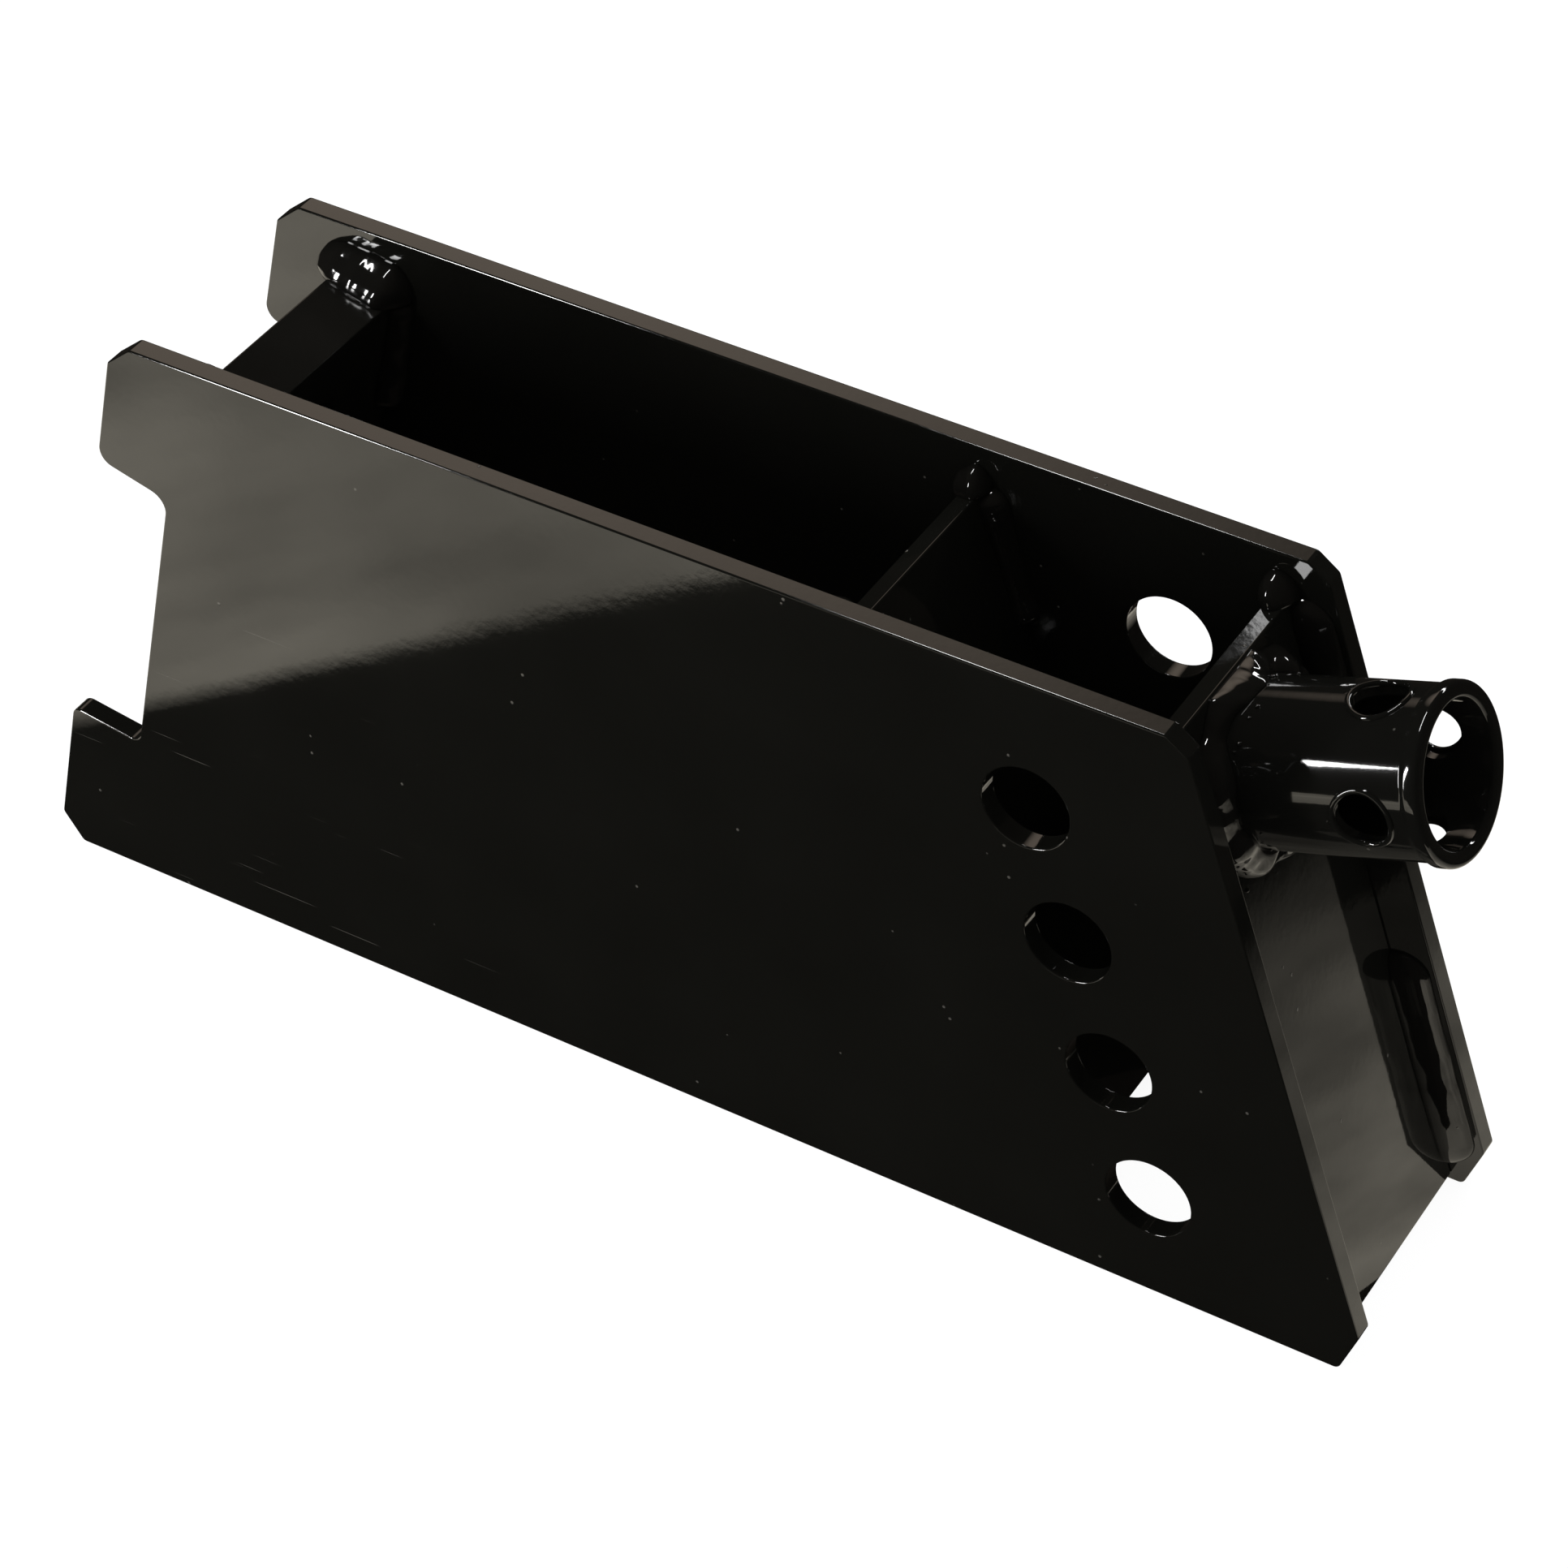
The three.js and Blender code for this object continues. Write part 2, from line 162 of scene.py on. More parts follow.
def keep_flats_flat(piece):
    """Large faces own the normals of the rounded edges beside them."""
    weighted = piece.modifiers.new("flat_faces", "WEIGHTED_NORMAL")
    weighted.weight = 100


def rounded_loop(corners):
    """Points and inward normals of an anticlockwise outline with true arcs at its corners."""
    points = []
    count = len(corners)
    for i, (x, y, radius) in enumerate(corners):
        here = Vector((x, y))
        before = (Vector(corners[i - 1][:2]) - here).normalized()
        after = (Vector(corners[(i + 1) % count][:2]) - here).normalized()
        half_angle = math.acos(max(-1, min(1, before.dot(after)))) / 2
        convex = before.x * after.y - before.y * after.x < 0
        centre = here + (before + after).normalized() * (radius / math.sin(half_angle))
        start = here + before * (radius / math.tan(half_angle)) - centre
        turn = math.pi - 2 * half_angle
        for k in range(CORNER_STEPS + 1):
            angle = turn * k / CORNER_STEPS * (1 if convex else -1)
            spoke = Vector((start.x * math.cos(angle) - start.y * math.sin(angle),
                            start.x * math.sin(angle) + start.y * math.cos(angle)))
            inward = -spoke.normalized() if convex else spoke.normalized()
            points.append((centre + spoke, inward))
    return points


def circle_loop(x, y, radius):
    """Points of a hole and the normals that lead away from it into the material."""
    points = []
    for k in range(HOLE_STEPS):
        angle = -2 * math.pi * k / HOLE_STEPS
        spoke = Vector((math.cos(angle), math.sin(angle)))
        points.append((Vector((x, y)) + spoke * radius, spoke))
    return points


def edge_profile(thickness):
    """(inset, height) pairs from the lower face round both edges to the upper face."""
    half = thickness / 2
    upper = []
    for k in range(EDGE_STEPS + 1):
        angle = math.pi / 2 * k / EDGE_STEPS
        inset = EDGE_RADIUS * (1 - math.cos(angle))
        upper.append((inset, half - EDGE_RADIUS * (1 - math.sin(angle))))
    return [(inset, -height) for inset, height in reversed(upper)] + upper


def plate(name, loops, thickness, placement, material):
    """Flat plate with rounded edges: `loops` are its outline and holes, drawn in XY."""
    bm = bmesh.new()
    profile = edge_profile(thickness)
    caps = ([], [])
    for loop in loops:
        rings = []
        for inset, height in profile:
            ring = []
            for point, inward in loop:
                spot = point + inward * inset
                ring.append(bm.verts.new(placement @ Vector((spot.x, spot.y, height))))
            rings.append(ring)
        for lower, upper in zip(rings, rings[1:]):
            for k in range(len(loop)):
                after = (k + 1) % len(loop)
                bm.faces.new((lower[k], lower[after], upper[after], upper[k]))
        caps[0].append(rings[0])
        caps[1].append(rings[-1])
    flat = placement.inverted()
    for rings in caps:
        outlines = [[(flat @ v.co).to_2d().to_3d() for v in ring] for ring in rings]
        verts = [v for ring in rings for v in ring]
        for triangle in tessellate_polygon(outlines):
            bm.faces.new([verts[k] for k in triangle])
    piece = finish_piece(name + "_coated", bm, material, [name])
    keep_flats_flat(piece)
    return piece


def join_rings(bm, rings, closed):
    """Skins a row of equal closed rings; a closed row also joins its last ring to its first."""
    spans = list(zip(rings, rings[1:]))
    if closed:
        spans.append((rings[-1], rings[0]))
    for here, after in spans:
        for j in range(len(here)):
            nxt = (j + 1) % len(here)
            bm.faces.new((here[j], after[j], after[nxt], here[nxt]))


def basis(x_axis, y_axis, z_axis, origin):
    """Placement whose columns are the given axes and origin."""
    matrix = Matrix((x_axis, y_axis, z_axis)).transposed().to_4x4()
    matrix.translation = origin
    return matrix


# ---- materials -----------------------------------------------------------------------------
# noise and cell scales are in cells per metre
CLOUD_SCALE = 22            # slow drift of tint and gloss
NIB_SCALE = 160             # dust caught under the coating
NIB_PATCH_SCALE = 60
PEEL_SCALE = 420            # fine orange peel
WAVE_SCALE = 70             # long waves in the coating
HAIRLINE_SCALE = 22
HAIRLINE_STRETCH = 70       # how much finer the noise is across a hairline than along it
HAIRLINE_SOFTNESS = 0.02
HAIRLINES = ((math.radians(4), 0.80), (math.radians(-12), 0.82))    # tilt, noise threshold
SCUFF_CENTRE = (-0.135, -0.0423, 0.045)     # lower hook corner of the front plate, metres
SCUFF_REACH = 0.085
MARK_COLOUR = (0.06, 0.057, 0.05, 1)
CLOUD_TINT = 1.7
COAT_IOR = 1.5


def node(tree, kind, **settings):
    made = tree.nodes.new(kind)
    for key, value in settings.items():
        setattr(made, key, value)
    return made


def noise_texture(tree, coords, scale, detail=2.0, stretch=(1, 1, 1), turn=(0, 0, 0)):
    mapping = node(tree, "ShaderNodeMapping")
    mapping.inputs["Scale"].default_value = stretch
    mapping.inputs["Rotation"].default_value = turn
    tree.links.new(coords, mapping.inputs["Vector"])
    texture = node(tree, "ShaderNodeTexNoise")
    texture.inputs["Scale"].default_value = scale
    texture.inputs["Detail"].default_value = detail
    tree.links.new(mapping.outputs["Vector"], texture.inputs["Vector"])
    return texture.outputs["Fac"]


def remap(tree, value, low, high, out_low, out_high):
    ranged = node(tree, "ShaderNodeMapRange")
    for key, number in zip(("From Min", "From Max", "To Min", "To Max"),
                           (low, high, out_low, out_high)):
        ranged.inputs[key].default_value = number
    tree.links.new(value, ranged.inputs["Value"])
    return ranged.outputs["Result"]


def arithmetic(tree, operation, first, second):
    step = node(tree, "ShaderNodeMath", operation=operation)
    for socket, value in zip(step.inputs, (first, second)):
        if isinstance(value, (int, float)):
            socket.default_value = value
        else:
            tree.links.new(value, socket)
    return step.outputs["Value"]


def hairline_mask(tree, coords, tilt, threshold):
    """A few hairlines: noise drawn out along one direction, only round the scuffed corner."""
    lines = noise_texture(tree, coords, HAIRLINE_SCALE, 0, (1, 1, HAIRLINE_STRETCH), (0, tilt, 0))
    hair = remap(tree, lines, threshold, threshold + HAIRLINE_SOFTNESS, 0, 1)
    away = node(tree, "ShaderNodeVectorMath", operation="DISTANCE")
    tree.links.new(coords, away.inputs[0])
    away.inputs[1].default_value = SCUFF_CENTRE
    near = remap(tree, away.outputs["Value"], SCUFF_REACH * 0.6, SCUFF_REACH, 1, 0)
    return arithmetic(tree, "MULTIPLY", hair, near)


def nib_mask(tree, coords):
    """Round dust nibs, kept only in sparse patches."""
    nibs = node(tree, "ShaderNodeTexVoronoi")
    nibs.inputs["Scale"].default_value = NIB_SCALE
    tree.links.new(coords, nibs.inputs["Vector"])
    dots = remap(tree, nibs.outputs["Distance"], 0.05, 0.09, 1, 0)
    sparse = remap(tree, noise_texture(tree, coords, NIB_PATCH_SCALE, 0), 0.66, 0.68, 0, 1)
    return arithmetic(tree, "MULTIPLY", dots, sparse)


def coat_colour(tree, colour, cloud, marks):
    """Base colour, clouded towards a lighter tint and paler where it is marked."""
    tint = node(tree, "ShaderNodeMix", data_type="RGBA")
    tint.inputs["A"].default_value = (*colour, 1)
    tint.inputs["B"].default_value = (*[c * CLOUD_TINT for c in colour], 1)
    tree.links.new(cloud, tint.inputs["Factor"])
    marked = node(tree, "ShaderNodeMix", data_type="RGBA")
    marked.inputs["B"].default_value = MARK_COLOUR
    tree.links.new(arithmetic(tree, "MULTIPLY", marks, 0.7), marked.inputs["Factor"])
    tree.links.new(tint.outputs["Result"], marked.inputs["A"])
    return marked.outputs["Result"]


def coat_bump(tree, coords, nib, depth):
    """Orange peel, long waves and nibs as one height, `depth` metres for a height of one."""
    peel = arithmetic(tree, "MULTIPLY", noise_texture(tree, coords, PEEL_SCALE, 2), 0.35)
    height = arithmetic(tree, "ADD", peel, noise_texture(tree, coords, WAVE_SCALE, 1))
    height = arithmetic(tree, "ADD", height, arithmetic(tree, "MULTIPLY", nib, 1.5))
    bump = node(tree, "ShaderNodeBump")
    bump.inputs["Strength"].default_value = 1.0
    bump.inputs["Distance"].default_value = depth
    tree.links.new(height, bump.inputs["Height"])
    return bump.outputs["Normal"]


def coat(name, colour, roughness, bump_depth, scratched=False):
    """Gloss black powder coat: orange peel, faint cloudiness, dust nibs and hairlines."""
    material = bpy.data.materials.new(name)
    material.use_nodes = True
    tree = material.node_tree
    shader = tree.nodes["Principled BSDF"]
    shader.inputs["IOR"].default_value = COAT_IOR
    coords = node(tree, "ShaderNodeTexCoord").outputs["Object"]
    cloud = noise_texture(tree, coords, CLOUD_SCALE, 4)
    nib = nib_mask(tree, coords)
    marks = nib
    if scratched:
        for tilt, threshold in HAIRLINES:
            marks = arithmetic(tree, "MAXIMUM", marks, hairline_mask(tree, coords, tilt, threshold))
    rough = remap(tree, cloud, 0.3, 0.7, roughness * 0.85, roughness * 1.2)
    rough = arithmetic(tree, "ADD", rough, arithmetic(tree, "MULTIPLY", marks, 0.25))
    tree.links.new(coat_colour(tree, colour, cloud, marks), shader.inputs["Base Color"])
    tree.links.new(rough, shader.inputs["Roughness"])
    tree.links.new(coat_bump(tree, coords, nib, bump_depth), shader.inputs["Normal"])
    return material


def coats():
    return {
        "plate_coat": coat("plate_coat", (0.0024, 0.0024, 0.0020), 0.055, 0.00003, scratched=True),
        "bar_coat": coat("bar_coat", (0.0026, 0.0025, 0.0021), 0.12, 0.00003),
        "tube_coat": coat("tube_coat", (0.0022, 0.0022, 0.0019), 0.06, 0.00002),
        "weld_coat": coat("weld_coat", (0.0024, 0.0023, 0.0020), 0.06, 0.00003),
    }


# ---- plates and bar ------------------------------------------------------------------------
def side_plate(name, side, material):
    loops = [rounded_loop(SIDE_OUTLINE)]
    for i in range(PIN_HOLE_COUNT):
        loops.append(circle_loop(FIRST_PIN_HOLE[0] - SLEEVE_UP.x * PIN_HOLE_PITCH * i,
                                 FIRST_PIN_HOLE[1] - SLEEVE_UP.z * PIN_HOLE_PITCH * i,
                                 PIN_HOLE_RADIUS))
    middle = side_point(0, 0, side * (HALF_WIDTH - PLATE_THICKNESS / 2))
    placement = basis(Vector((1, 0, 0)), Vector((0, 0, 1)), Vector((0, -1, 0)), middle)
    return plate(name, loops, PLATE_THICKNESS, placement, material)


def cross_member(name, corner, up, out, height, thickness, shift, holes, material):
    """Plate across the bracket; `corner` is its upper corner, `shift` where its middle lies."""
    w = CROSS_HALF_WIDTH
    h = height / 2
    corners = [(x, y, CROSS_CORNER_RADIUS) for x, y in ((-w, -h), (w, -h), (w, h), (-w, h))]
    middle = corner - up * h + out * shift
    placement = basis(ACROSS, up, out, middle)
    return plate(name, [rounded_loop(corners), *holes], thickness, placement, material)


def cross_members(coat_of):
    bar_hole = circle_loop(0, BAR_HEIGHT / 2 - BAR_HOLE_FROM_TOP, BAR_HOLE_RADIUS)
    cross_member("hook_bar", BAR_CORNER, BAR_UP, BAR_OUT, BAR_HEIGHT, BAR_THICKNESS,
                 BAR_THICKNESS / 2, [bar_hole], coat_of["bar_coat"])
    for name, corner in (("inner_plate", INNER_CORNER), ("end_plate", END_CORNER)):
        cross_member(name, corner, SLEEVE_UP, SLEEVE_OUT, SLEEVE_PLATE_LENGTH, PLATE_THICKNESS,
                     -PLATE_THICKNESS / 2, [], coat_of["plate_coat"])


# ---- stub tube -----------------------------------------------------------------------------
def tube_profile():
    """(radius, height) pairs round the wall: outside, rolled collar, rounded rim, bore."""
    rim = TUBE_RIM_RADIUS
    shoulder = TUBE_LENGTH - COLLAR_WIDTH
    profile = [(TUBE_RADIUS, FIT_CLEARANCE)]
    for k in range(TUBE_WALL_RINGS):
        climb = (shoulder - SHOULDER_MARGIN) * (k + 1) / TUBE_WALL_RINGS
        profile.append((TUBE_RADIUS, FIT_CLEARANCE + climb))
    for k in range(SHOULDER_STEPS + 1):
        blend = (1 - math.cos(math.pi * k / SHOULDER_STEPS)) / 2
        climb = SHOULDER_HALF_WIDTH * (2 * k / SHOULDER_STEPS - 1)
        profile.append((TUBE_RADIUS + (COLLAR_RADIUS - TUBE_RADIUS) * blend, shoulder + climb))
    for k in range(RIM_STEPS + 1):
        angle = math.pi / 2 * k / RIM_STEPS
        profile.append((COLLAR_RADIUS - rim * (1 - math.cos(angle)),
                        TUBE_LENGTH - rim * (1 - math.sin(angle))))
    for k in range(RIM_STEPS + 1):
        angle = math.pi / 2 * k / RIM_STEPS
        profile.append((TUBE_BORE_RADIUS + rim * (1 - math.sin(angle)),
                        TUBE_LENGTH - rim * (1 - math.cos(angle))))
    for k in range(TUBE_BORE_RINGS):
        depth = (TUBE_LENGTH - rim) * (1 - (k + 1) / TUBE_BORE_RINGS)
        profile.append((TUBE_BORE_RADIUS, depth + FIT_CLEARANCE))
    return profile


def tube_place():
    """Tube frame: Z along the tube, X down the end plate."""
    return basis(-SLEEVE_UP, ACROSS, SLEEVE_OUT, TUBE_ROOT)


def lathe(bm, profile, steps, place):
    """Turns a closed profile round the Z axis of `place`."""
    rings = []
    for k in range(steps):
        angle = 2 * math.pi * k / steps
        spoke = Vector((math.cos(angle), math.sin(angle), 0))
        rings.append([bm.verts.new(place @ (spoke * r + Vector((0, 0, h)))) for r, h in profile])
    join_rings(bm, rings, closed=True)


def cutter(direction_angle, place):
    """Closed cylinder across the tube, used once and deleted."""
    bm = bmesh.new()
    height = Vector((0, 0, TUBE_LENGTH - TUBE_PIN_FROM_END))
    along = Vector((math.cos(direction_angle), math.sin(direction_angle), 0))
    other = along.cross(Vector((0, 0, 1)))
    ends = []
    for end in (-1, 1):
        ring = []
        for k in range(HOLE_STEPS):
            angle = 2 * math.pi * k / HOLE_STEPS
            spoke = other * math.cos(angle) + Vector((0, 0, 1)) * math.sin(angle)
            spot = height + along * CUTTER_REACH * end + spoke * TUBE_PIN_RADIUS
            ring.append(bm.verts.new(place @ spot))
        ends.append(ring)
    for k in range(HOLE_STEPS):
        after = (k + 1) % HOLE_STEPS
        bm.faces.new((ends[0][k], ends[0][after], ends[1][after], ends[1][k]))
    bm.faces.new(list(reversed(ends[0])))
    bm.faces.new(ends[1])
    bmesh.ops.recalc_face_normals(bm, faces=bm.faces)
    bmesh.ops.scale(bm, vec=(MM, MM, MM), verts=bm.verts)
    mesh = bpy.data.meshes.new("cutter")
    bm.to_mesh(mesh)
    bm.free()
    made = bpy.data.objects.new("cutter", mesh)
    bpy.context.scene.collection.objects.link(made)
    return made


def drill(piece, tool):
    """Cuts `tool` out of the piece for good, then deletes the tool."""
    modifier = piece.modifiers.new("drill", "BOOLEAN")
    modifier.operation = "DIFFERENCE"
    modifier.solver = "EXACT"
    modifier.object = tool
    bpy.context.view_layer.update()
    graph = bpy.context.evaluated_depsgraph_get()
    drilled = bpy.data.meshes.new_from_object(piece.evaluated_get(graph))
    piece.modifiers.clear()
    piece.data = drilled
    bpy.data.objects.remove(tool)


def hole_lip(index, around, place, material):
    """Rolled coating lip that follows a drilled hole's edge on the tube's outside."""
    bm = bmesh.new()
    rings = []
    for k in range(HOLE_STEPS):
        angle = 2 * math.pi * k / HOLE_STEPS
        sideways = TUBE_PIN_RADIUS * math.cos(angle)
        along = TUBE_LENGTH - TUBE_PIN_FROM_END + TUBE_PIN_RADIUS * math.sin(angle)
        tilt = math.asin(sideways / TUBE_RADIUS)
        outward = Vector((math.cos(around + tilt), math.sin(around + tilt), 0))
        centre = outward * (TUBE_RADIUS - LIP_SINK) + Vector((0, 0, along))
        tangent_around = Vector((-outward.y, outward.x, 0))
        away = tangent_around * math.cos(angle) + Vector((0, 0, 1)) * math.sin(angle)
        ring = []
        for j in range(LIP_SECTION_STEPS):
            turn = 2 * math.pi * j / LIP_SECTION_STEPS
            offset = away * math.cos(turn) * LIP_RADIUS + outward * math.sin(turn) * LIP_RADIUS
            ring.append(bm.verts.new(place @ (centre + offset)))
        rings.append(ring)
    join_rings(bm, rings, closed=True)
    return finish_piece(f"tube_hole_lip_{index}", bm, material, [])


def stub_tube(material):
    place = tube_place()
    bm = bmesh.new()
    lathe(bm, tube_profile(), TUBE_STEPS, place)
    tube = finish_piece("stub_tube_coated", bm, material, ["stub_tube"])
    for turn in (0, math.pi / 2):
        drill(tube, cutter(turn, place))
    tube.data.set_sharp_from_angle(angle=SHARP_ANGLE)
    for index in range(4):
        hole_lip(index + 1, math.pi / 2 * index, place, material)


# ---- welds ---------------------------------------------------------------------------------
BEAD_RING_SPACING = 0.45
BEAD_MIN_RINGS = 24
ACROSS_STEPS = 14           # facets across the face of a bead
WELD_SINK = 0.5             # how far a bead's back lies inside the plates it joins
BACK_SHARE = 0.9            # its back corners, as a share of its legs
END_ROUNDING = 0.8          # rounded end length, as a share of the longer leg
MIN_END_SHARE = 0.02
RIPPLE_PITCH = 3.0
RIPPLE_HEIGHT = 0.3
RIPPLE_LAG = RIPPLE_PITCH * 0.9     # ripples trail behind at both toes
RIPPLE_WANDER = 1.5

# noise in the beads: how fast it changes, and how much it counts at a roughness of one
NOISE_OFFSET = 50
WANDER_RATE = 0.09
RING_WANDER_RATE = 1.4
WANDER_SHARE = 2.2
FLICKER_RATE = 0.14
LUMP_RATE = 0.2
LUMP_SPREAD = 6
LUMP_SHARE = 2.5

SEAM_LEGS = (9.8, 3.8)          # along the side plate's ledge, over the end plate
SEAM_UPPER_START = 0.4          # these four are measured down from the end plate's top
SEAM_UPPER_END = 42.0
SEAM_LOWER_START = 111.0
SEAM_LOWER_END = 182.0
BAR_TOP_LEGS = (8.0, 9.5)
BAR_TOP_OVERHANG = (7.0, 4.0)   # past the bar on the notch side and on the inside
BAR_SIDE_LEGS = (6.2, 6.2)
BAR_SIDE_START = 1.0
BAR_SIDE_END = 40.0
CORNER_LEGS = (8.0, 8.0)
CORNER_OVERHANG = 2.4
INNER_LEGS = (5.0, 5.0)
INNER_RUN = 42.0
ROOT_LEGS = (7.0, 7.0)
TOP_EDGE_MARGIN = 0.5
LEAST_CLIMB = 0.05              # directions flatter than this never reach the top edge

SPATTER_COUNT = 46
SPATTER_SIZE = (0.35, 0.85)
SPATTER_CLEAR_OF_SIDES = 5


def straight_path(start, end, along_u, along_v):
    """Path function and length of a straight weld: point and both leg directions at share t."""
    return lambda t: (start.lerp(end, t), along_u, along_v), (end - start).length


def ring_path():
    """Path round the tube's root; legs run out over the plate and along the tube."""
    turn = tube_place().to_3x3()

    def at(t):
        angle = 2 * math.pi * t
        spoke = turn @ Vector((math.cos(angle), math.sin(angle), 0))
        return TUBE_ROOT + spoke * TUBE_RADIUS, spoke, SLEEVE_OUT

    return at, 2 * math.pi * TUBE_RADIUS


def plate_room(direction):
    """How far a leg may reach over the end plate before its top edge."""
    upward = direction.dot(SLEEVE_UP)
    if upward <= LEAST_CLIMB:
        return math.inf
    return (TUBE_FROM_PLATE_TOP - TOP_EDGE_MARGIN) / upward - TUBE_RADIUS


def end_taper(s, length, legs):
    """Share of the full size at distance s, so that a run ends in quarter circles."""
    end_radius = min(max(legs) * END_ROUNDING, length / 2)
    near_end = min(s, length - s)
    return math.sqrt(max(MIN_END_SHARE, 1 - (1 - min(1, near_end / end_radius)) ** 2))


def bead(name, nodes, path, legs, material, seed, bulge, ripple, rough, ring=False):
    """Fillet bead swept along a path, closed, with rounded ends unless it is a ring.

    `bulge` runs from 0 for a flat face to 1 for a quarter ellipse, `ripple` scales the
    ripples and `rough` the wandering, flicker and lumps.
    """
    at, length = path
    rng = random.Random(seed)
    drift = Vector([rng.uniform(0, NOISE_OFFSET) for _ in range(3)])

    def section(t):
        """Points round the bead at share t of its path."""
        origin, u, v = at(t)
        s = t * length
        travelled = u * RING_WANDER_RATE if ring else Vector((s * WANDER_RATE, 0, 0))
        wander = noise.noise(drift + travelled)
        flicker = noise.noise(drift + origin * FLICKER_RATE)
        size = 1 + rough * WANDER_SHARE * wander + rough * flicker
        if not ring:
            size *= end_taper(s, length, legs)
        leg_u = legs[0] * size
        leg_v = legs[1] * size
        if ring:
            leg_u = min(leg_u, plate_room(u))
        loop = []
        for j in range(ACROSS_STEPS + 1):
            share = j / ACROSS_STEPS
            angle = math.pi / 2 * share
            hump = math.sin(angle * 2)
            face_u = (1 - bulge) * (1 - share) + bulge * math.cos(angle)
            face_v = (1 - bulge) * share + bulge * math.sin(angle)
            lag = RIPPLE_LAG * (2 * share - 1) ** 2
            phase = ((s + lag) / RIPPLE_PITCH + RIPPLE_WANDER * wander) % 1.0
            swell = ripple * RIPPLE_HEIGHT * math.sin(math.pi * phase) * min(1, size)
            spread = origin + (u * face_u + v * face_v) * LUMP_SPREAD
            lump = rough * LUMP_SHARE * noise.noise(drift + spread * LUMP_RATE)
            diagonal = (u * math.cos(angle) + v * math.sin(angle)).normalized()
            surface = origin + u * leg_u * face_u + v * leg_v * face_v
            loop.append(surface + diagonal * (swell + lump) * hump)
        loop.append(origin - u * WELD_SINK + v * leg_v * BACK_SHARE)
        loop.append(origin - u * WELD_SINK - v * WELD_SINK)
        loop.append(origin + u * leg_u * BACK_SHARE - v * WELD_SINK)
        return loop

    bm = bmesh.new()
    steps = max(BEAD_MIN_RINGS, int(length / BEAD_RING_SPACING))
    rings = []
    for i in range(steps if ring else steps + 1):
        rings.append([bm.verts.new(point) for point in section(i / steps)])
    join_rings(bm, rings, closed=ring)
    if not ring:
        bm.faces.new(list(reversed(rings[0])))
        bm.faces.new(rings[-1])
    return finish_piece(name, bm, material, nodes)


def side_welds(side_name, side, material):
    """Every straight run on one side plate."""
    inward = ACROSS * -side
    face = ACROSS * side * INNER_FACE_Y
    bar_inner = BAR_CORNER + BAR_OUT * BAR_THICKNESS
    seed = 10 if side > 0 else 40

    def made(node_name, start, end, climb, legs, offset, **look):
        path = straight_path(start + face, end + face, climb, inward)
        bead(node_name + "_bead", [node_name], path, legs, material, seed + offset, **look)

    def top_weld(label, corner, offset):
        """Blob over the top corner of a sleeve plate."""
        back = corner - SLEEVE_OUT * PLATE_THICKNESS
        made(f"{label}_top_weld_{side_name}", back - SLEEVE_OUT * CORNER_OVERHANG,
             corner + SLEEVE_OUT * CORNER_OVERHANG, SLEEVE_UP, CORNER_LEGS, offset,
             bulge=0.95, ripple=0.25, rough=0.2)

    made(f"hook_bar_top_weld_{side_name}", BAR_CORNER - BAR_OUT * BAR_TOP_OVERHANG[0],
         bar_inner + BAR_OUT * BAR_TOP_OVERHANG[1], BAR_UP, BAR_TOP_LEGS, 1,
         bulge=0.95, ripple=0.15, rough=0.14)
    made(f"hook_bar_side_weld_{side_name}", bar_inner - BAR_UP * BAR_SIDE_START,
         bar_inner - BAR_UP * BAR_SIDE_END, BAR_OUT, BAR_SIDE_LEGS, 2,
         bulge=0.9, ripple=0.15, rough=0.16)
    top_weld("inner_plate", INNER_CORNER, 3)
    made(f"inner_plate_side_weld_{side_name}", INNER_CORNER, INNER_CORNER - SLEEVE_UP * INNER_RUN,
         SLEEVE_OUT, INNER_LEGS, 4, bulge=0.7, ripple=0.35, rough=0.1)
    top_weld("end_plate", END_CORNER, 6)
    for label, first, last, offset in (("upper", SEAM_UPPER_START, SEAM_UPPER_END, 7),
                                       ("seam", SEAM_LOWER_START, SEAM_LOWER_END, 8)):
        made(f"end_plate_{label}_weld_{side_name}", END_CORNER - SLEEVE_UP * first,
             END_CORNER - SLEEVE_UP * last, SLEEVE_OUT, SEAM_LEGS, offset,
             bulge=0.9, ripple=0.0, rough=0.02)


def root_weld(material):
    bead("tube_root_weld_bead", ["tube_root_weld"], ring_path(), ROOT_LEGS, material, 3,
         bulge=0.85, ripple=0.3, rough=0.3, ring=True)


def spatter(material):
    """Small coated droplets thrown out round the tube's root weld."""
    rng = random.Random(7)
    bm = bmesh.new()
    turn = tube_place().to_3x3()
    for _ in range(SPATTER_COUNT):
        angle = rng.uniform(0, 2 * math.pi)
        spoke = turn @ Vector((math.cos(angle), math.sin(angle), 0))
        size = rng.uniform(*SPATTER_SIZE)
        if rng.random() < 0.5:
            reach = TUBE_RADIUS + ROOT_LEGS[0] + rng.expovariate(0.5)
            past_top = reach > TUBE_RADIUS + plate_room(spoke)
            if past_top or abs(spoke.y * reach) > INNER_FACE_Y - SPATTER_CLEAR_OF_SIDES:
                continue
            spot = TUBE_ROOT + spoke * reach
        else:
            along = ROOT_LEGS[1] + rng.expovariate(0.6)
            spot = TUBE_ROOT + spoke * TUBE_RADIUS + SLEEVE_OUT * along
        squeeze = Matrix.Diagonal((size, size * rng.uniform(0.7, 1.0), size * 0.8, 1))
        bmesh.ops.create_icosphere(bm, subdivisions=3, radius=1,
                                   matrix=Matrix.Translation(spot) @ squeeze)
    return finish_piece("weld_spatter", bm, material, [])


